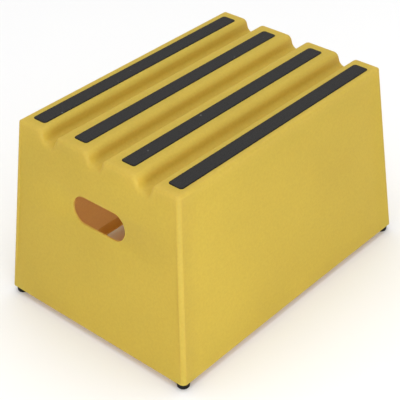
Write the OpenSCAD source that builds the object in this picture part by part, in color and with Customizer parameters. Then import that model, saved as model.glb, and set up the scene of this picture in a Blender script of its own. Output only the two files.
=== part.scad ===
// Moulded single-step mounting block: a hollow polyethylene shell with an open bottom,
// four raised treads with grit strips, two hand holes and four rubber feet.
// The length runs along X, the width along Y, and the feet stand on the plane z = 0.

/* [Moulded shell] */
// Length of the shell at its base
base_length = 534; // [440:1:640]
// Width of the shell at its base
base_width = 374; // [340:1:440]
// Length of the shell across its top
top_length = 475; // [420:1:520]
// Width of the shell across its top
top_width = 322; // [310:1:335]
// Height of the shell without its feet
shell_height = 305; // [200:1:400]
// Wall thickness of the moulding
wall = 3.5; // [3:0.5:4.5]
// How much of the flare is gathered towards the base: 0 is a straight draft
flare_bow = 0.35; // [0:0.05:0.8]
// Radius of the four upright corners
corner_radius = 9; // [9:1:18]
// Radius of the edge around the top
top_edge_radius = 5; // [5:0.5:8]
// Width of the trimmed flange around the open bottom, measured from the outer face
flange_width = 24; // [17:1:28]
// Corner radius of the opening in the bottom
opening_radius = 32; // [28:1:50]

/* [Treads and grooves] */
// Distance from one groove to the next
groove_pitch = 95; // [90:0.5:95]
// Width of a groove between its two walls, at the top
groove_width = 31; // [27:0.5:31]
// Width of a groove between its two walls, at the floor
groove_floor_width = 20; // [20:0.5:26]
// Depth of a groove below the treads
groove_depth = 21; // [20:1:32]
// Radius of the shoulders where the treads turn down into a groove
shoulder_radius = 6; // [6:0.5:12]
// Radius at the foot of a groove's walls
groove_fillet = 10; // [5:0.5:10]

/* [Hand holes] */
// Width of a hand hole from end to end
hand_hole_width = 106; // [90:1:130]
// Height of a hand hole
hand_hole_height = 46; // [38:1:50]
// Depth of a hand hole's centre below the treads
hand_hole_drop = 99; // [85:1:130]
// Sideways place of the hand holes, measured from the middle of the width
hand_hole_shift = -8; // [-12:1:12]

/* [Grit strips] */
// Length of a grit strip
strip_length = 438; // [300:1:450]
// Width of a grit strip
strip_width = 26.5; // [20:0.5:27.5]
// Thickness of a grit strip with its adhesive
strip_thickness = 1; // [0.6:0.1:1.5]
// Radius of a strip's corners
strip_corner = 5; // [2:0.5:8]
// Distance of the outer left strip from the middle
outer_left_strip = 134; // [134:0.5:138]
// Distance of the inner left strip from the middle
inner_left_strip = 47; // [44:0.5:50]
// Distance of the inner right strip from the middle
inner_right_strip = 48; // [44:0.5:50]
// Distance of the outer right strip from the middle
outer_right_strip = 137; // [134:0.5:138]

/* [Feet] */
// Height of a rubber foot
foot_height = 12; // [10:0.5:13]
// Diameter of a foot where it meets the shell
foot_diameter = 20; // [17:0.5:20]
// Diameter of a foot where it meets the floor
foot_tread_diameter = 19; // [15:0.5:19]
// Distance of a foot's centre from the outer faces of the shell
foot_inset = 12.5; // [12.5:0.1:14]

/* [Hidden] */

$fn = 64;
little = 1;
corner_steps = 5;
side_levels = 8;
edge_step = 18;
arc_steps = 6;
tread_z = foot_height + shell_height;
hand_hole_z = tread_z - hand_hole_drop;

// M4 fixing of a foot: pan-head screw, moulded-in insert washer, backing washer, nylon-ring nut
screw_radius = 2;
screw_hole_radius = 2.25;
head_radius = 4;
head_height = 2.6;
head_dome = 0.6;
drive_radius = 1.1;
drive_depth = 1.6;
screw_length = 16;
recess_radius = 4.8;
recess_depth = 7.6;
insert_radius = 6.5;
insert_thickness = 1;
washer_radius = 4.5;
washer_bore = 2.15;
washer_thickness = 0.8;
nut_across_flats = 7;
nut_hex_height = 3.4;
nut_collar_radius = 3.1;
nut_height = 5;

// Left is +Y and front is -X, seen by someone who faces the front hand hole
left = 1;
right = -1;
front = -1;
rear = 1;

// Half of the outer size at a height above the base; the flare grows towards the base
function fall(height) = 1 - height / shell_height;
function flare(height) = (1 - flare_bow) * fall(height) + flare_bow * fall(height) * fall(height);
function half_length(height) = (top_length + (base_length - top_length) * flare(height)) / 2;
function half_width(height) = (top_width + (base_width - top_width) * flare(height)) / 2;

// One level of the shell: [height, half length, half width, corner radius]
function level(height, inset) = [
    height,
    half_length(height) - inset,
    half_width(height) - inset,
    corner_radius - inset
];

// All levels of the outer skin, or of the cavity when inset is the wall thickness
function skin_levels(inset, floor_height) =
    let (edge = top_edge_radius - inset, top = shell_height - inset)
    concat(
        [for (i = [0 : side_levels])
            level(floor_height + (top - edge - floor_height) * i / side_levels, inset)],
        [for (a = [edge_step : edge_step : 90])
            let (ring = level(top - edge + edge * sin(a), inset), cut = edge * (1 - cos(a)))
            [ring[0], ring[1] - cut, ring[2] - cut, ring[3] - cut]]
    );

// Points of one level, counted anticlockwise from +X
function ring_points(ring) = [
    for (quarter = [0 : 3], i = [0 : corner_steps])
        let (
            a = 90 * quarter + 90 * i / corner_steps,
            sx = (quarter == 0 || quarter == 3) ? 1 : -1,
            sy = quarter < 2 ? 1 : -1
        )
        [sx * (ring[1] - ring[3]) + ring[3] * cos(a),
         sy * (ring[2] - ring[3]) + ring[3] * sin(a),
         ring[0]]
];

// Points on an arc in a flat profile
function arc(centre, radius, from, to) = [
    for (i = [0 : arc_steps])
        let (a = from + (to - from) * i / arc_steps)
        [centre[0] + radius * cos(a), centre[1] + radius * sin(a)]
];

// Right half of a groove's section: shoulder, wall and fillet. grow moves it out by a wall's thickness.
function wall_draft() = atan((groove_width - groove_floor_width) / 2 / groove_depth);
function groove_half(grow) =
    let (
        draft = wall_draft(),
        shoulder = max(shoulder_radius - grow, little),
        fillet = groove_fillet + grow,
        top = -grow,
        bottom = -groove_depth - grow,
        wall_top = groove_width / 2 + grow / cos(draft) + (top) * tan(draft),
        shoulder_y = wall_top + shoulder * tan((90 - draft) / 2),
        wall_bottom = wall_top + (bottom - top) * tan(draft),
        fillet_y = wall_bottom - fillet * tan((90 - draft) / 2)
    )
    concat(
        [[shoulder_y, top + 2 * top_edge_radius]],
        arc([shoulder_y, top - shoulder], shoulder, 90, 180 - draft),
        arc([fillet_y, bottom + fillet], fillet, -draft, -90)
    );

module loft(rings) {
    count = 4 * (corner_steps + 1);
    last = len(rings) - 1;
    polyhedron(
        points = [for (ring = rings) each ring_points(ring)],
        faces = concat(
            [[for (i = [0 : count - 1]) i]],
            [[for (i = [count - 1 : -1 : 0]) last * count + i]],
            [for (k = [0 : last - 1], i = [0 : count - 1])
                [k * count + i, (k + 1) * count + i, k * count + (i + 1) % count]],
            [for (k = [0 : last - 1], i = [0 : count - 1])
                [k * count + (i + 1) % count, (k + 1) * count + i, (k + 1) * count + (i + 1) % count]]
        ),
        convexity = 6
    );
}

module rounded_plate(length, width, radius, thickness) {
    linear_extrude(thickness) {
        square([length - 2 * radius, width], center = true);
        square([length, width - 2 * radius], center = true);
        for (sx = [-1, 1], sy = [-1, 1])
            translate([sx * (length / 2 - radius), sy * (width / 2 - radius)])
                circle(radius);
    }
}

module groove_cut(grow) {
    half = groove_half(grow);
    other = [for (i = [len(half) - 1 : -1 : 0]) [-half[i][0], half[i][1]]];
    for (k = [-1 : 1])
        translate([-base_length / 2, k * groove_pitch, tread_z])
            rotate([90, 0, 90])
                linear_extrude(base_length)
                    polygon(concat(half, other));
}

module hand_hole_cut() {
    side = (hand_hole_width - hand_hole_height) / 2;
    translate([-base_length / 2, hand_hole_shift, hand_hole_z])
        rotate([0, 90, 0])
            linear_extrude(base_length) {
                square([hand_hole_height, 2 * side], center = true);
                for (s = [-1, 1])
                    translate([0, s * side])
                        circle(hand_hole_height / 2);
            }
}

module at_foot(end, side) {
    translate([end * (base_length / 2 - foot_inset), side * (base_width / 2 - foot_inset), 0])
        children();
}

module body() {
    color("gold")
        difference() {
            translate([0, 0, foot_height])
                loft(skin_levels(0, 0));
            difference() {
                translate([0, 0, foot_height])
                    loft(skin_levels(wall, wall));
                groove_cut(wall);
            }
            groove_cut(0);
            hand_hole_cut();
            translate([0, 0, foot_height - little])
                rounded_plate(base_length - 2 * flange_width, base_width - 2 * flange_width,
                              opening_radius, wall + 2 * little);
            for (end = [front, rear], side = [left, right])
                at_foot(end, side)
                    cylinder(h = foot_height + 2 * wall, r = screw_hole_radius);
        }
}

module grip_strip(offset) {
    color("#3c3a3a")
        translate([0, offset, tread_z])
            rounded_plate(strip_length, strip_width, strip_corner, strip_thickness);
}

// Cone-sided rubber bumper with a recess for the screw head and a pocket for its insert
module foot(end, side) {
    color("#1c1c1c")
        at_foot(end, side)
            difference() {
                cylinder(h = foot_height, r1 = foot_tread_diameter / 2, r2 = foot_diameter / 2);
                translate([0, 0, -little])
                    cylinder(h = recess_depth + little, r = recess_radius);
                translate([0, 0, recess_depth])
                    cylinder(h = insert_thickness, r = insert_radius);
                cylinder(h = foot_height + little, r = screw_hole_radius);
            }
}

module ring(outer, inner, height, z) {
    translate([0, 0, z])
        difference() {
            cylinder(h = height, r = outer);
            translate([0, 0, -little])
                cylinder(h = height + 2 * little, r = inner);
        }
}

module foot_insert(end, side) {
    color("silver")
        at_foot(end, side)
            ring(insert_radius, washer_bore, insert_thickness, recess_depth);
}

module foot_screw(end, side) {
    color("silver")
        at_foot(end, side)
            difference() {
                union() {
                    translate([0, 0, recess_depth])
                        cylinder(h = screw_length, r = screw_radius);
                    translate([0, 0, recess_depth - head_height + head_dome])
                        cylinder(h = head_height - head_dome, r = head_radius);
                    translate([0, 0, recess_depth - head_height])
                        cylinder(h = head_dome, r1 = head_radius - head_dome, r2 = head_radius);
                }
                translate([0, 0, recess_depth - head_height - little])
                    cylinder(h = drive_depth + little, r = drive_radius, $fn = 6);
            }
}

module backing_washer(end, side) {
    color("silver")
        at_foot(end, side)
            ring(washer_radius, washer_bore, washer_thickness, foot_height + wall);
}

module lock_nut(end, side) {
    color("silver")
        at_foot(end, side)
            translate([0, 0, foot_height + wall + washer_thickness])
                difference() {
                    union() {
                        cylinder(h = nut_hex_height, r = nut_across_flats / sqrt(3), $fn = 6);
                        cylinder(h = nut_height, r = nut_collar_radius);
                    }
                    translate([0, 0, -little])
                        cylinder(h = nut_height + 2 * little, r = screw_radius);
                }
}

body();
grip_strip(left * outer_left_strip);  // grip_strip_outer_left
grip_strip(left * inner_left_strip);  // grip_strip_inner_left
grip_strip(right * inner_right_strip);  // grip_strip_inner_right
grip_strip(right * outer_right_strip);  // grip_strip_outer_right
foot(front, left);  // foot_front_left
foot(front, right);  // foot_front_right
foot(rear, left);  // foot_rear_left
foot(rear, right);  // foot_rear_right
foot_insert(front, left);  // foot_insert_front_left
foot_insert(front, right);  // foot_insert_front_right
foot_insert(rear, left);  // foot_insert_rear_left
foot_insert(rear, right);  // foot_insert_rear_right
foot_screw(front, left);  // foot_screw_front_left
foot_screw(front, right);  // foot_screw_front_right
foot_screw(rear, left);  // foot_screw_rear_left
foot_screw(rear, right);  // foot_screw_rear_right
backing_washer(front, left);  // backing_washer_front_left
backing_washer(front, right);  // backing_washer_front_right
backing_washer(rear, left);  // backing_washer_rear_left
backing_washer(rear, right);  // backing_washer_rear_right
lock_nut(front, left);  // lock_nut_front_left
lock_nut(front, right);  // lock_nut_front_right
lock_nut(rear, left);  // lock_nut_rear_left
lock_nut(rear, right);  // lock_nut_rear_right
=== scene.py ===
import math
import bmesh
import bpy
from mathutils import Matrix, Vector


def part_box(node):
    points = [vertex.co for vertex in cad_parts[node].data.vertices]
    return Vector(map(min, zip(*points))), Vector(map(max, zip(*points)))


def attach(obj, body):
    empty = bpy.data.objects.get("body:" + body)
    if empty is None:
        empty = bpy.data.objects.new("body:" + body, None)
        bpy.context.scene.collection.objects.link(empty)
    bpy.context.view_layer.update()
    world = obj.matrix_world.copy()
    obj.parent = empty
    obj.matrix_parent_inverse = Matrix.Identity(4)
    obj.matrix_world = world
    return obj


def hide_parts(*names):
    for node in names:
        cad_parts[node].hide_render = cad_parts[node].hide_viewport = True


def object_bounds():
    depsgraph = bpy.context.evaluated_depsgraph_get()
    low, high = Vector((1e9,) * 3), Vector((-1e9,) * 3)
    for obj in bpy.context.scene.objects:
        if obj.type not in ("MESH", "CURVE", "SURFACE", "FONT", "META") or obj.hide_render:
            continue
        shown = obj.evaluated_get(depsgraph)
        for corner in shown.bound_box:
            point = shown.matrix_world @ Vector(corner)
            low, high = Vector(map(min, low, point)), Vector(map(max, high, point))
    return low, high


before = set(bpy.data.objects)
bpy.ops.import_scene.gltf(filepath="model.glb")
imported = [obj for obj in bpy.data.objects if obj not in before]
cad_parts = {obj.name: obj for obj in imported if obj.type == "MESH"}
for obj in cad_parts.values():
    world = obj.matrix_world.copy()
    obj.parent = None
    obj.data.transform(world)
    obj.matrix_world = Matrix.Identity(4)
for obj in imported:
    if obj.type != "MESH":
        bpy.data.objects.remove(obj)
cadLow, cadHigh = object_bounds()
bodyLow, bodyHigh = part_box("body")
baseZ = bodyLow.z
treadZ = bodyHigh.z
corners = ["front_left", "front_right", "rear_left", "rear_right"]
hair = 1e-5  # two levels closer than this are the same level
print("frame loaded:", len(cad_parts), "nodes")


# small helpers for picking, cutting and joining

def onlySelect(piece):
    if bpy.context.object and bpy.context.object.mode != "OBJECT":
        bpy.ops.object.mode_set(mode="OBJECT")
    bpy.ops.object.select_all(action="DESELECT")
    piece.select_set(True)
    bpy.context.view_layer.objects.active = piece


def newPiece(name):
    piece = bpy.context.object
    piece.name = name
    piece.data.name = name
    onlySelect(piece)
    bpy.ops.object.transform_apply(location=True, rotation=True, scale=True)
    return piece


def boxPiece(name, low, high):
    size = [h - l for l, h in zip(low, high)]
    middle = [(l + h) / 2 for l, h in zip(low, high)]
    bpy.ops.mesh.primitive_cube_add(size=1, location=middle, scale=size)
    return newPiece(name)


def openForEdit(piece):
    onlySelect(piece)
    bpy.ops.object.mode_set(mode="EDIT")
    bpy.ops.mesh.select_all(action="DESELECT")


def closeEdit():
    bpy.ops.object.mode_set(mode="OBJECT")


def pickVerts(piece, test):
    bpy.ops.mesh.select_mode(type="VERT")
    bpy.ops.mesh.select_all(action="DESELECT")
    mesh = bmesh.from_edit_mesh(piece.data)
    for vert in mesh.verts:
        vert.select = test(vert.co)
    mesh.select_flush_mode()
    bmesh.update_edit_mesh(piece.data)


def pickEdges(piece, test):
    bpy.ops.mesh.select_mode(type="EDGE")
    bpy.ops.mesh.select_all(action="DESELECT")
    mesh = bmesh.from_edit_mesh(piece.data)
    for edge in mesh.edges:
        a, b = edge.verts
        edge.select = test((a.co + b.co) / 2, (b.co - a.co).normalized())
    mesh.select_flush_mode()
    bmesh.update_edit_mesh(piece.data)


def pickSharp(piece, least, test):
    bpy.ops.mesh.select_mode(type="EDGE")
    bpy.ops.mesh.select_all(action="DESELECT")
    mesh = bmesh.from_edit_mesh(piece.data)
    for edge in mesh.edges:
        a, b = edge.verts
        edge.select = edge.calc_face_angle(0) > math.radians(least) and test((a.co + b.co) / 2)
    mesh.select_flush_mode()
    bmesh.update_edit_mesh(piece.data)


def pickFaces(piece, test):
    bpy.ops.mesh.select_mode(type="FACE")
    bpy.ops.mesh.select_all(action="DESELECT")
    mesh = bmesh.from_edit_mesh(piece.data)
    mesh.normal_update()
    for face in mesh.faces:
        face.select = test(face.calc_center_median(), face.normal)
    mesh.select_flush_mode()
    bmesh.update_edit_mesh(piece.data)


def cutAll(place, normal, **more):
    bpy.ops.mesh.select_all(action="SELECT")
    bpy.ops.mesh.bisect(plane_co=place, plane_no=normal, **more)


def useModifier(piece, kind, **settings):
    onlySelect(piece)
    modifier = piece.modifiers.new(kind.title(), kind)
    for key, value in settings.items():
        setattr(modifier, key, value)
    bpy.ops.object.modifier_apply(modifier=modifier.name)


def joinPieces(pieces):
    onlySelect(pieces[0])
    for piece in pieces[1:]:
        piece.select_set(True)
    bpy.ops.object.join()
    return pieces[0]


def dropPiece(piece):
    onlySelect(piece)
    bpy.ops.object.delete()


def settle(piece, material, node, angle=35):
    onlySelect(piece)
    bpy.ops.object.shade_smooth_by_angle(angle=math.radians(angle))
    piece.data.materials.clear()
    piece.data.materials.append(material)
    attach(piece, "root")
    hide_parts(node)
    return piece


# materials

def startMaterial(name):
    material = bpy.data.materials.new(name)
    material.use_nodes = True
    tree = material.node_tree
    tree.nodes.clear()
    output = tree.nodes.new("ShaderNodeOutputMaterial")
    shader = tree.nodes.new("ShaderNodeBsdfPrincipled")
    tree.links.new(shader.outputs["BSDF"], output.inputs["Surface"])
    place = tree.nodes.new("ShaderNodeTexCoord")
    return material, tree, shader, place.outputs["Object"]


def noiseNode(tree, place, scale, detail=2.0, roughness=0.5, stretch=(1, 1, 1)):
    mapping = tree.nodes.new("ShaderNodeMapping")
    mapping.inputs["Scale"].default_value = stretch
    noise = tree.nodes.new("ShaderNodeTexNoise")
    noise.inputs["Scale"].default_value = scale
    noise.inputs["Detail"].default_value = detail
    noise.inputs["Roughness"].default_value = roughness
    tree.links.new(place, mapping.inputs["Vector"])
    tree.links.new(mapping.outputs["Vector"], noise.inputs["Vector"])
    return noise.outputs["Fac"]


def rampNode(tree, value, stops):
    ramp = tree.nodes.new("ShaderNodeValToRGB")
    while len(ramp.color_ramp.elements) < len(stops):
        ramp.color_ramp.elements.new(0.5)
    for element, (at, colour) in zip(ramp.color_ramp.elements, stops):
        element.position = at
        element.color = (*colour, 1)
    tree.links.new(value, ramp.inputs["Fac"])
    return ramp.outputs["Color"]


def greyRamp(tree, value, low, high, start=0.3, end=0.7):
    return rampNode(tree, value, [(start, (low,) * 3), (end, (high,) * 3)])


def mixNode(tree, amount, first, second, blend="MIX"):
    mix = tree.nodes.new("ShaderNodeMix")
    mix.data_type = "RGBA"
    mix.blend_type = blend
    if isinstance(amount, (int, float)):
        mix.inputs["Factor"].default_value = amount
    else:
        tree.links.new(amount, mix.inputs["Factor"])
    tree.links.new(first, mix.inputs["A"])
    tree.links.new(second, mix.inputs["B"])
    return mix.outputs["Result"]


def bumpNode(tree, height, distance, strength, below=None):
    bump = tree.nodes.new("ShaderNodeBump")
    bump.inputs["Distance"].default_value = distance
    bump.inputs["Strength"].default_value = strength
    tree.links.new(height, bump.inputs["Height"])
    if below:
        tree.links.new(below, bump.inputs["Normal"])
    return bump.outputs["Normal"]


def mouldedPlastic():
    look = dict(
        pale=(0.735, 0.655, 0.093),
        deep=(0.655, 0.575, 0.073),
        glow=(0.95, 0.64, 0.42),
        glowShare=0.47,
        mottleScale=260,
        cloudScale=9,
        peelScale=420,
        drift=0.93,
        smooth=0.46,
        rough=0.56,
        specular=0.35,
        mottleHeight=0.0010,
        mottleStrength=0.35,
        peelHeight=0.0003,
        peelStrength=0.25,
    )
    material, tree, shader, place = startMaterial("mouldedPolyethylene")
    mottle = noiseNode(tree, place, look["mottleScale"], detail=2.5, roughness=0.55)
    cloud = noiseNode(tree, place, look["cloudScale"], detail=3)
    tone = rampNode(tree, mottle, [(0.32, look["deep"]), (0.68, look["pale"])])
    drift = greyRamp(tree, cloud, look["drift"], 1)
    colour = mixNode(tree, 1.0, tone, drift, "MULTIPLY")
    tree.links.new(colour, shader.inputs["Base Color"])
    rough = greyRamp(tree, mottle, look["smooth"], look["rough"])
    tree.links.new(rough, shader.inputs["Roughness"])
    peel = noiseNode(tree, place, look["peelScale"], detail=2)
    wave = bumpNode(tree, mottle, look["mottleHeight"], look["mottleStrength"])
    dimple = bumpNode(tree, peel, look["peelHeight"], look["peelStrength"], wave)
    tree.links.new(dimple, shader.inputs["Normal"])
    shader.inputs["Specular IOR Level"].default_value = look["specular"]
    glow = tree.nodes.new("ShaderNodeBsdfTranslucent")  # daylight through the thin wall
    glow.inputs["Color"].default_value = (*look["glow"], 1)
    blend = tree.nodes.new("ShaderNodeMixShader")
    blend.inputs["Fac"].default_value = look["glowShare"]
    tree.links.new(shader.outputs["BSDF"], blend.inputs[1])
    tree.links.new(glow.outputs["BSDF"], blend.inputs[2])
    output = tree.nodes["Material Output"]
    tree.links.new(blend.outputs["Shader"], output.inputs["Surface"])
    return material


def gritTape():
    look = dict(
        dark=(0.008, 0.0075, 0.007),
        light=(0.030, 0.028, 0.026),
        grainScale=1100,
        fleckScale=420,
        fleckFrom=0.955,
        fleckFull=0.975,
        # dim and bright base colour of the painted glints on the grit
        glintDim=0.015,
        glintBright=0.12,
        rough=0.8,
        specular=0.3,
        grainHeight=0.0006,
        grainStrength=0.8,
    )
    material, tree, shader, place = startMaterial("gritTape")
    grain = noiseNode(tree, place, look["grainScale"], detail=3, roughness=0.7)
    tone = rampNode(tree, grain, [(0.35, look["dark"]), (0.68, look["light"])])
    cells = tree.nodes.new("ShaderNodeTexVoronoi")
    cells.inputs["Scale"].default_value = look["fleckScale"]
    tree.links.new(place, cells.inputs["Vector"])
    # a few scattered cells get a paler base colour: painted glints standing in for light caught by the grit
    # grains
    fleck = greyRamp(tree, cells.outputs["Color"], 0, 1, look["fleckFrom"], look["fleckFull"])
    paintedGlint = greyRamp(tree, fleck, look["glintDim"], look["glintBright"], 0, 1)
    colour = mixNode(tree, fleck, tone, paintedGlint)
    tree.links.new(colour, shader.inputs["Base Color"])
    shader.inputs["Roughness"].default_value = look["rough"]
    shader.inputs["Specular IOR Level"].default_value = look["specular"]
    grains = bumpNode(tree, grain, look["grainHeight"], look["grainStrength"])
    tree.links.new(grains, shader.inputs["Normal"])
    return material


def tapeFilm():
    material, tree, shader, place = startMaterial("tapeFilm")
    look = dict(
        dark=(0.006, 0.006, 0.006),
        light=(0.014, 0.013, 0.013),
        streakScale=600,
        streakStretch=(0.1, 1, 1),
        smooth=0.42,
        rough=0.6,
        specular=0.08,
    )
    streak = noiseNode(tree, place, look["streakScale"], detail=2, stretch=look["streakStretch"])
    tone = rampNode(tree, streak, [(0.3, look["dark"]), (0.7, look["light"])])
    tree.links.new(tone, shader.inputs["Base Color"])
    rough = greyRamp(tree, streak, look["smooth"], look["rough"])
    tree.links.new(rough, shader.inputs["Roughness"])
    shader.inputs["Specular IOR Level"].default_value = look["specular"]
    return material


def footRubber():
    material, tree, shader, place = startMaterial("footRubber")
    look = dict(
        dark=0.004,
        dusty=0.012,
        dustScale=320,
        smooth=0.55,
        rough=0.75,
        specular=0.15,
        dustHeight=0.0002,
        dustStrength=0.4,
    )
    dust = noiseNode(tree, place, look["dustScale"], detail=3)
    tone = greyRamp(tree, dust, look["dark"], look["dusty"], 0.35, 0.75)
    tree.links.new(tone, shader.inputs["Base Color"])
    rough = greyRamp(tree, dust, look["smooth"], look["rough"])
    tree.links.new(rough, shader.inputs["Roughness"])
    specks = bumpNode(tree, dust, look["dustHeight"], look["dustStrength"])
    tree.links.new(specks, shader.inputs["Normal"])
    shader.inputs["Specular IOR Level"].default_value = look["specular"]
    return material


def zincSteel():
    material, tree, shader, place = startMaterial("zincSteel")
    look = dict(
        blue=(0.50, 0.51, 0.50),
        straw=(0.66, 0.65, 0.60),
        spangleScale=900,
        smooth=0.30,
        rough=0.45,
    )
    spangle = noiseNode(tree, place, look["spangleScale"], detail=2)
    tone = rampNode(tree, spangle, [(0.3, look["blue"]), (0.7, look["straw"])])
    tree.links.new(tone, shader.inputs["Base Color"])
    rough = greyRamp(tree, spangle, look["smooth"], look["rough"])
    tree.links.new(rough, shader.inputs["Roughness"])
    shader.inputs["Metallic"].default_value = 1.0
    return material


plastic = mouldedPlastic()
grit = gritTape()
film = tapeFilm()
rubber = footRubber()
steel = zincSteel()
print("materials made")


# the moulded shell

shellPlan = dict(
    topLength=0.475,
    topWidth=0.322,
    wall=0.0035,
    flareBow=0.35,
    upright=0.009,
    uprightGap=0.0003,
    lip=0.0055,
    longEdge=0.0058,
    groovePitch=0.0953,
    grooveWidth=0.0315,
    grooveFloor=0.020,
    grooveDepth=0.021,
    shoulder=0.0095,
    fillet=0.010,
    levels=[0.030, 0.055, 0.080, 0.105, 0.130, 0.155, 0.180, 0.205, 0.230, 0.250, 0.268, 0.281],
    notchLevels=[0.2925, 0.302, 0.308],
    spans=14,
    sideBow=0.0010,
    flange=0.024,
    openingRadius=0.032,
    holeWidth=0.106,
    holeHeight=0.046,
    holeDrop=0.099,
    holeShift=-0.008,
    screwHole=0.00225,
    cutEdge=0.0005,
    lipSteps=7,
    near=0.001,
    weld=0.00002,
    cagePoints=(5, 5, 11),
    holeMargin=0.002,
    holeSlack=0.00005,
    holeWeld=0.0003,
    endFrom=0.2,
    sharp=50,
    screwSides=24,
    spare=0.03,
    cutterReach=0.02,
    openingCut=0.012,
    screwCut=0.03,
)


def grooveProfile(plan):
    # a flat section of the block across its width, with the three grooves notched out
    lowZ = baseZ - plan["spare"]
    startX = -plan["topLength"] / 2 + plan["lip"]
    bpy.ops.mesh.primitive_plane_add(size=1, location=(startX, 0, (treadZ + lowZ) / 2),
                                     rotation=(0, math.pi / 2, 0))
    profile = newPiece("moulded_shell")
    openForEdit(profile)
    bpy.ops.mesh.select_all(action="SELECT")
    bpy.ops.transform.resize(value=(1, plan["topWidth"], treadZ - lowZ),
                             center_override=(startX, 0, (treadZ + lowZ) / 2))
    floorZ = treadZ - plan["grooveDepth"]
    draft = math.atan((plan["grooveWidth"] - plan["grooveFloor"]) / 2 / plan["grooveDepth"])
    for centre in (-plan["groovePitch"], 0, plan["groovePitch"]):
        for side in (-1, 1):
            wallTop = (startX, centre + side * plan["grooveWidth"] / 2, treadZ)
            cutAll(wallTop, (0, side * math.cos(draft), -math.sin(draft)))
    cutAll((startX, 0, floorZ), (0, 0, 1))

    def inNotch(centre, normal):
        away = min(abs(centre.y - k * plan["groovePitch"]) for k in (-1, 0, 1))
        return centre.z > floorZ and away < plan["grooveFloor"] / 2

    pickFaces(profile, inNotch)
    bpy.ops.mesh.delete(type="FACE")
    bpy.ops.mesh.select_all(action="SELECT")
    bpy.ops.mesh.dissolve_limited(angle_limit=math.radians(1))
    turn = (math.pi / 2 - draft) / 2
    halfTop = plan["topWidth"] / 2
    near = plan["near"]
    rounds = [
        (lambda co: co.z > treadZ - near and abs(co.y) < halfTop - near, plan["shoulder"] * math.tan(turn)),
        (lambda co: co.z > treadZ - near and abs(co.y) > halfTop - near, plan["longEdge"]),
        (lambda co: abs(co.z - floorZ) < near, plan["fillet"] * math.tan(turn)),
    ]
    for test, reach in rounds:
        pickVerts(profile, test)
        bpy.ops.mesh.bevel(affect="VERTICES", offset=reach, segments=8, profile=0.5, clamp_overlap=False)
    return profile


def sweepProfile(profile, plan):
    # the section drawn out along the length, with rounded lips at both ends
    length = plan["topLength"] - 2 * plan["lip"]
    pickFaces(profile, lambda centre, normal: True)
    bpy.ops.mesh.extrude_region_move(TRANSFORM_OT_translate={"value": (length, 0, 0)})
    bpy.ops.mesh.select_all(action="SELECT")
    bpy.ops.mesh.normals_make_consistent(inside=False)
    for i in range(1, plan["spans"]):
        cutAll((-length / 2 + length * i / plan["spans"], 0, 0), (1, 0, 0))
    steps = plan["lipSteps"]
    for side in (-1, 1):
        pickFaces(profile, lambda centre, normal: normal.x * side > 0.99)
        for i in range(steps):
            a = math.pi / 2 * i / steps
            b = math.pi / 2 * (i + 1) / steps
            bpy.ops.mesh.inset(thickness=plan["lip"] * (math.cos(a) - math.cos(b)),
                               depth=plan["lip"] * (math.sin(b) - math.sin(a)),
                               use_even_offset=True)
    cutAll((0, 0, baseZ), (0, 0, 1), clear_inner=True, use_fill=True)
    for z in plan["levels"] + plan["notchLevels"]:
        cutAll((0, 0, z), (0, 0, 1))
    bpy.ops.mesh.select_all(action="SELECT")
    bpy.ops.mesh.remove_doubles(threshold=plan["weld"])
    bpy.ops.mesh.normals_make_consistent(inside=False)
    closeEdit()


def roundUprights(shell, plan):
    # a tall box with round corners keeps what lies inside it, so the four uprights come out softer
    reach = (plan["topLength"] / 2 + plan["uprightGap"], plan["topWidth"] / 2 + plan["uprightGap"])
    keeper = boxPiece("uprightKeeper", (-reach[0], -reach[1], baseZ - plan["cutterReach"]),
                      (*reach, treadZ + plan["cutterReach"]))
    openForEdit(keeper)
    pickEdges(keeper, lambda centre, way: abs(way.z) > 0.9)
    bpy.ops.mesh.bevel(offset=plan["upright"], segments=10)
    closeEdit()
    useModifier(shell, "BOOLEAN", operation="INTERSECT", solver="EXACT", object=keeper)
    dropPiece(keeper)


def flareShell(shell, plan):
    # a lattice spreads the sides towards the base and draws the long walls in a little
    size = (plan["topLength"], plan["topWidth"], treadZ - baseZ)
    bpy.ops.object.add(type="LATTICE", location=(0, 0, (treadZ + baseZ) / 2))
    cage = bpy.context.object
    cage.scale = size
    cage.data.points_u, cage.data.points_v, cage.data.points_w = plan["cagePoints"]
    cage.data.interpolation_type_u = "KEY_CARDINAL"
    cage.data.interpolation_type_v = "KEY_CARDINAL"
    cage.data.interpolation_type_w = "KEY_CARDINAL"
    for point in cage.data.points:
        x, y, z = point.co
        fall = 0.5 - z
        flare = (1 - plan["flareBow"]) * fall + plan["flareBow"] * fall * fall
        growX = (bodyHigh.x - plan["topLength"] / 2) * flare
        growY = (bodyHigh.y - plan["topWidth"] / 2) * flare
        bowX = plan["sideBow"] * fall * (1 - (2 * y) ** 2)
        bowY = plan["sideBow"] * fall * (1 - (2 * x) ** 2)
        point.co_deform = (
            x + 2 * x * (growX - bowX) / size[0],
            y + 2 * y * (growY - bowY) / size[1],
            z,
        )
    useModifier(shell, "LATTICE", object=cage)
    dropPiece(cage)


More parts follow.
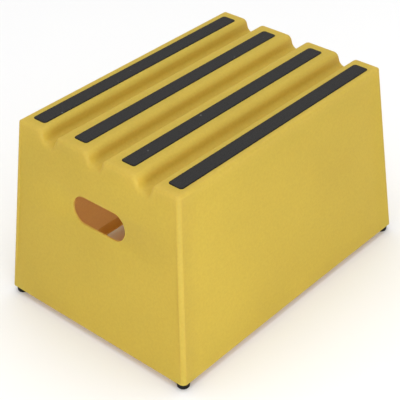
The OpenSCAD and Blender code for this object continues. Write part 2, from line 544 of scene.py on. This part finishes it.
def cutShell(shell, plan):
    # the trimmed opening underneath, the two hand holes and the four screw holes
    reach = plan["cutterReach"]
    low = (bodyLow.x + plan["flange"], bodyLow.y + plan["flange"], baseZ - reach)
    high = (bodyHigh.x - plan["flange"], bodyHigh.y - plan["flange"], baseZ + plan["openingCut"])
    opening = boxPiece("openingCutter", low, high)
    openForEdit(opening)
    pickEdges(opening, lambda centre, way: abs(way.z) > 0.9)
    bpy.ops.mesh.bevel(offset=plan["openingRadius"], segments=12)
    closeEdit()
    holeZ = treadZ - plan["holeDrop"]
    halfWidth, halfHeight = plan["holeWidth"] / 2, plan["holeHeight"] / 2
    low = (bodyLow.x - reach, plan["holeShift"] - halfWidth, holeZ - halfHeight)
    high = (bodyHigh.x + reach, plan["holeShift"] + halfWidth, holeZ + halfHeight)
    handHole = boxPiece("handHoleCutter", low, high)
    openForEdit(handHole)
    pickEdges(handHole, lambda centre, way: abs(way.x) > 0.9)
    bpy.ops.mesh.bevel(offset=halfHeight - plan["holeSlack"], segments=14, clamp_overlap=False)
    bpy.ops.mesh.select_all(action="SELECT")
    bpy.ops.mesh.remove_doubles(threshold=plan["holeWeld"])
    closeEdit()
    cutters = [opening, handHole]
    for corner in corners:
        footLow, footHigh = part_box("foot_" + corner)
        centre = (footLow + footHigh) / 2
        bpy.ops.mesh.primitive_cylinder_add(vertices=plan["screwSides"], radius=plan["screwHole"],
                                            depth=plan["screwCut"], location=(centre.x, centre.y, baseZ))
        cutters.append(newPiece("screwCutter"))
    cutter = joinPieces(cutters)
    useModifier(shell, "BOOLEAN", operation="DIFFERENCE", solver="EXACT", object=cutter)
    dropPiece(cutter)

    def onHoleRim(centre):
        level = abs(centre.z - holeZ) < halfHeight + plan["holeMargin"]
        across = abs(centre.y - plan["holeShift"]) < halfWidth + plan["holeMargin"]
        return abs(centre.x) > plan["endFrom"] and level and across

    openForEdit(shell)
    pickSharp(shell, plan["sharp"], onHoleRim)
    bpy.ops.mesh.bevel(offset=plan["cutEdge"], segments=2, clamp_overlap=False)
    closeEdit()


shell = grooveProfile(shellPlan)
sweepProfile(shell, shellPlan)
roundUprights(shell, shellPlan)
flareShell(shell, shellPlan)
useModifier(shell, "SOLIDIFY", thickness=shellPlan["wall"], offset=-1, use_even_offset=True)
cutShell(shell, shellPlan)
settle(shell, plastic, "body")
print("moulded shell:", len(shell.data.polygons), "faces")


def copyPiece(piece, name, shift):
    onlySelect(piece)
    bpy.ops.object.duplicate(linked=False)
    copy = bpy.context.object
    bpy.ops.transform.translate(value=shift)
    copy.name = name
    copy.data.name = name
    bpy.ops.object.transform_apply(location=True, rotation=True, scale=True)
    return copy


# grit strips: a film with a rounded outline and a slightly uneven bed on it
# the bed is coarse, two rows of cells 2.5 mm long, so the grit itself is only in the material

stripPlan = dict(
    corner=0.005,
    film=0.00045,
    filmRound=0.3,
    rim=0.0017,
    gridSize=1,
    columns=398,
    rows=24,
    lift=0.0001,
    bed=0.0003,
    trimSpare=0.001,
    grain=0.00035,
    noiseSize=0.0011,
)


def gritStrip(plan, low, high):
    backing = boxPiece("grip_strip", low, (high.x, high.y, low.z + plan["film"]))
    openForEdit(backing)
    pickEdges(backing, lambda centre, way: abs(way.z) > 0.9)
    bpy.ops.mesh.bevel(offset=plan["corner"], segments=8)
    pickEdges(backing, lambda centre, way: centre.z > low.z + plan["film"] * 0.9)
    bpy.ops.mesh.bevel(offset=plan["film"] * plan["filmRound"], segments=2)
    closeEdit()
    backing.data.materials.append(film)

    top = low.z + plan["film"]
    middle = ((low.x + high.x) / 2, (low.y + high.y) / 2, top + plan["lift"])
    bpy.ops.mesh.primitive_grid_add(x_subdivisions=plan["columns"], y_subdivisions=plan["rows"],
                                    size=plan["gridSize"], location=middle)
    bed = newPiece("gritBed")
    bed.data.materials.append(grit)
    rim = plan["rim"]
    trim = boxPiece("gritTrim", (low.x + rim, low.y + rim, low.z),
                    (high.x - rim, high.y - rim, high.z + plan["trimSpare"]))
    openForEdit(trim)
    pickEdges(trim, lambda centre, way: abs(way.z) > 0.9)
    bpy.ops.mesh.bevel(offset=plan["corner"] - rim, segments=8)
    closeEdit()
    openForEdit(bed)
    bpy.ops.mesh.select_all(action="SELECT")
    bpy.ops.mesh.extrude_region_move(TRANSFORM_OT_translate={"value": (0, 0, -plan["bed"])})
    bpy.ops.mesh.select_all(action="SELECT")
    bpy.ops.mesh.normals_make_consistent(inside=False)
    pickFaces(bed, lambda centre, normal: normal.z < -0.9)
    bpy.ops.mesh.dissolve_faces()
    closeEdit()
    useModifier(bed, "BOOLEAN", operation="INTERSECT", solver="EXACT", object=trim)
    dropPiece(trim)
    group = bed.vertex_groups.new(name="upper")
    group.add([v.index for v in bed.data.vertices if v.co.z > top], 1, "REPLACE")
    noise = bpy.data.textures.new("gritNoise", "CLOUDS")
    noise.noise_scale = plan["noiseSize"]
    noise.noise_depth = 1
    useModifier(bed, "DISPLACE", texture=noise, texture_coords="LOCAL", direction="Z", mid_level=0,
                strength=plan["grain"], vertex_group="upper")
    return joinPieces([backing, bed])


stripNames = [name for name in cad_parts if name.startswith("grip_strip")]
firstLow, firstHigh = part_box(stripNames[0])
firstStrip = gritStrip(stripPlan, firstLow, firstHigh)
firstStrip.name = "tread_" + stripNames[0]
strips = [firstStrip]
for name in stripNames[1:]:
    strips.append(copyPiece(firstStrip, "tread_" + name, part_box(name)[0] - firstLow))
for name, strip in zip(stripNames, strips):
    onlySelect(strip)
    bpy.ops.object.shade_smooth_by_angle(angle=math.radians(40))
    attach(strip, "root")
    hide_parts(name)
print("grit strips:", len(strip.data.polygons), "faces each")


# feet and their fixings, made at the first corner and copied to the others

footPlan = dict(
    sides=48,
    treadRadius=0.0095,
    topRadius=0.0100,
    recessRadius=0.0048,
    pocketRadius=0.0065,
    pocketHeight=0.001,
    boreRadius=0.00225,
    floorEdge=0.0011,
    topEdge=0.0005,
    skin=0.0002,
)
screwPlan = dict(
    sides=36,
    headRadius=0.004,
    dome=0.0009,
    shankRadius=0.002,
    driveRadius=0.0011,
    driveDepth=0.0016,
    driveSpare=0.001,
    threadPitch=0.0007,
    threadDepth=0.00025,
)
nutPlan = dict(
    acrossFlats=0.007,
    hexHeight=0.0034,
    collarSides=36,
    collarRadius=0.0031,
    chamfer=0.00035,
    overlap=0.0004,
)


def cylinderPiece(name, centre, radius, lowZ, highZ, sides):
    bpy.ops.mesh.primitive_cylinder_add(vertices=sides, radius=radius, depth=highZ - lowZ,
                                        location=(centre.x, centre.y, (lowZ + highZ) / 2))
    return newPiece(name)


def rubberFoot(plan, low, high, recessTop):
    centre = (low + high) / 2
    foot = cylinderPiece("foot", centre, plan["topRadius"], low.z, high.z, plan["sides"])
    base = (centre.x, centre.y, low.z)
    openForEdit(foot)
    pickFaces(foot, lambda place, normal: normal.z < -0.9)
    taper = plan["treadRadius"] / plan["topRadius"]
    bpy.ops.transform.resize(value=(taper, taper, 1), center_override=base)
    bpy.ops.mesh.inset(thickness=plan["treadRadius"] - plan["recessRadius"])
    grow = plan["pocketRadius"] / plan["recessRadius"]
    shrink = plan["boreRadius"] / plan["pocketRadius"]
    steps = [(recessTop - low.z, 1), (0, grow), (plan["pocketHeight"], 1), (0, shrink),
             (high.z - recessTop - plan["pocketHeight"] - plan["skin"], 1)]
    for rise, scale in steps:
        bpy.ops.mesh.extrude_region_move(TRANSFORM_OT_translate={"value": (0, 0, rise)})
        bpy.ops.transform.resize(value=(scale, scale, 1), center_override=base)

    def far(place):
        return math.hypot(place.x - centre.x, place.y - centre.y)

    pickEdges(foot, lambda place, way: place.z < low.z + hair and far(place) > plan["treadRadius"] * 0.95)
    bpy.ops.mesh.bevel(offset=plan["floorEdge"], segments=4)
    pickEdges(foot, lambda place, way: place.z > high.z - hair and abs(way.z) < 0.1)
    bpy.ops.mesh.bevel(offset=plan["topEdge"], segments=2)
    pickEdges(foot, lambda place, way: place.z < low.z + hair and far(place) < plan["recessRadius"] * 1.05
              and far(place) > plan["recessRadius"] * 0.9)
    bpy.ops.mesh.bevel(offset=plan["topEdge"], segments=2)
    closeEdit()
    return foot


def panScrew(plan, low, high, headTop):
    centre = (low + high) / 2
    head = cylinderPiece("foot_screw", centre, plan["headRadius"], low.z, headTop, plan["sides"])
    openForEdit(head)
    pickEdges(head, lambda place, way: place.z < low.z + hair)
    bpy.ops.mesh.bevel(offset=plan["dome"], segments=5)
    pickFaces(head, lambda place, normal: normal.z > 0.9)
    bpy.ops.mesh.inset(thickness=plan["headRadius"] - plan["shankRadius"])
    pitches = int((high.z - headTop) / plan["threadPitch"])
    root = 1 - plan["threadDepth"] / plan["shankRadius"]
    axis = (centre.x, centre.y, headTop)
    for i in range(pitches):
        for scale in (root, 1 / root):
            rise = (0, 0, plan["threadPitch"] / 2)
            bpy.ops.mesh.extrude_region_move(TRANSFORM_OT_translate={"value": rise})
            bpy.ops.transform.resize(value=(scale, scale, 1), center_override=axis)
    closeEdit()
    drive = cylinderPiece("driveCutter", centre, plan["driveRadius"],
                          low.z - plan["driveSpare"], low.z + plan["driveDepth"], 6)
    useModifier(head, "BOOLEAN", operation="DIFFERENCE", solver="EXACT", object=drive)
    dropPiece(drive)
    return head


def lockNut(plan, low, high):
    centre = (low + high) / 2
    hexTop = low.z + plan["hexHeight"]
    nut = cylinderPiece("lock_nut", centre, plan["acrossFlats"] / math.sqrt(3), low.z, hexTop, 6)
    openForEdit(nut)
    pickEdges(nut, lambda place, way: abs(way.z) < 0.1)
    bpy.ops.mesh.bevel(offset=plan["chamfer"], segments=2)
    closeEdit()
    collar = cylinderPiece("collar", centre, plan["collarRadius"], hexTop - plan["overlap"], high.z,
                           plan["collarSides"])
    openForEdit(collar)
    pickEdges(collar, lambda place, way: place.z > high.z - hair)
    bpy.ops.mesh.bevel(offset=plan["chamfer"] * 2, segments=3)
    closeEdit()
    useModifier(nut, "BOOLEAN", operation="UNION", solver="EXACT", object=collar)
    dropPiece(collar)
    return nut


def placeAtCorners(piece, kind, material, angle):
    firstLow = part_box(kind + "_" + corners[0])[0]
    for corner in corners[1:]:
        name = kind + "_" + corner
        copy = copyPiece(piece, "fixed_" + name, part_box(name)[0] - firstLow)
        settle(copy, material, name, angle)
    piece.name = "fixed_" + kind + "_" + corners[0]
    settle(piece, material, kind + "_" + corners[0], angle)


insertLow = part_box("foot_insert_" + corners[0])[0]
foot = rubberFoot(footPlan, *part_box("foot_" + corners[0]), insertLow.z)
placeAtCorners(foot, "foot", rubber, 40)
screw = panScrew(screwPlan, *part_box("foot_screw_" + corners[0]), insertLow.z)
placeAtCorners(screw, "foot_screw", steel, 30)
nut = lockNut(nutPlan, *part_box("lock_nut_" + corners[0]))
placeAtCorners(nut, "lock_nut", steel, 30)
for name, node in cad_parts.items():
    if name.startswith("foot_insert") or name.startswith("backing_washer"):
        for slot in node.material_slots:
            slot.material = steel
print("feet and fixings made")


# floor, light and camera

studioPlan = dict(
    floorSize=14,
    floorGap=0.0002,
    floorDark=0.89,
    floorLight=0.91,
    floorRough=0.9,
    floorScale=3,
    skyStrength=0.85,
    keyPlace=(-0.95, -1.2, 0.38),
    keyAim=(0, 0, 0.15),
    keySize=0.6,
    keyWatts=8.6,
    topPlace=(0.1, 0.1, 2.6),
    topAim=(0, 0, 0.3),
    topSize=2.4,
    topWatts=24,
)
cameraPlan = dict(turn=42.001, tilt=34.689, roll=-1.228, sensor=36, lens=108.23, far=50,
                  away=Vector((-1.1977, -1.0643, 0.910)))


def makeFloor(plan):
    bpy.ops.mesh.primitive_plane_add(size=plan["floorSize"], location=(0, 0, cadLow.z - plan["floorGap"]))
    floor = newPiece("studioFloor")
    material, tree, shader, place = startMaterial("paleFloor")
    mottle = noiseNode(tree, place, plan["floorScale"])
    tone = greyRamp(tree, mottle, plan["floorDark"], plan["floorLight"], 0, 1)
    tree.links.new(tone, shader.inputs["Base Color"])
    shader.inputs["Roughness"].default_value = plan["floorRough"]
    floor.data.materials.append(material)


def softLight(name, place, aim, size, watts):
    bpy.ops.object.light_add(type="AREA", location=place)
    light = bpy.context.object
    light.name = name
    light.data.size = size
    light.data.energy = watts
    light.rotation_euler = (Vector(aim) - Vector(place)).to_track_quat("-Z", "Y").to_euler()


def makeLights(plan):
    world = bpy.data.worlds.new("softWorld")
    bpy.context.scene.world = world
    world.use_nodes = True
    backdrop = world.node_tree.nodes["Background"]
    backdrop.inputs["Color"].default_value = (1, 1, 1, 1)
    backdrop.inputs["Strength"].default_value = plan["skyStrength"]
    softLight("keyLight", plan["keyPlace"], plan["keyAim"], plan["keySize"], plan["keyWatts"])
    softLight("topLight", plan["topPlace"], plan["topAim"], plan["topSize"], plan["topWatts"])


def makeCamera(plan):
    bpy.ops.object.camera_add(location=plan["away"] + Vector((0, 0, treadZ)))
    camera = bpy.context.object
    camera.name = "studioCamera"
    camera.data.sensor_width = plan["sensor"]
    camera.data.lens = plan["lens"]
    camera.data.clip_end = plan["far"]
    turn = Matrix.Rotation(math.radians(plan["turn"] - 90), 4, "Z")
    tilt = Matrix.Rotation(math.radians(90 - plan["tilt"]), 4, "X")
    roll = Matrix.Rotation(math.radians(plan["roll"]), 4, "Z")
    camera.rotation_euler = (turn @ tilt @ roll).to_euler()
    bpy.context.scene.camera = camera


makeFloor(studioPlan)
makeLights(studioPlan)
makeCamera(cameraPlan)
bpy.context.scene.view_settings.view_transform = "Standard"
print("studio set")
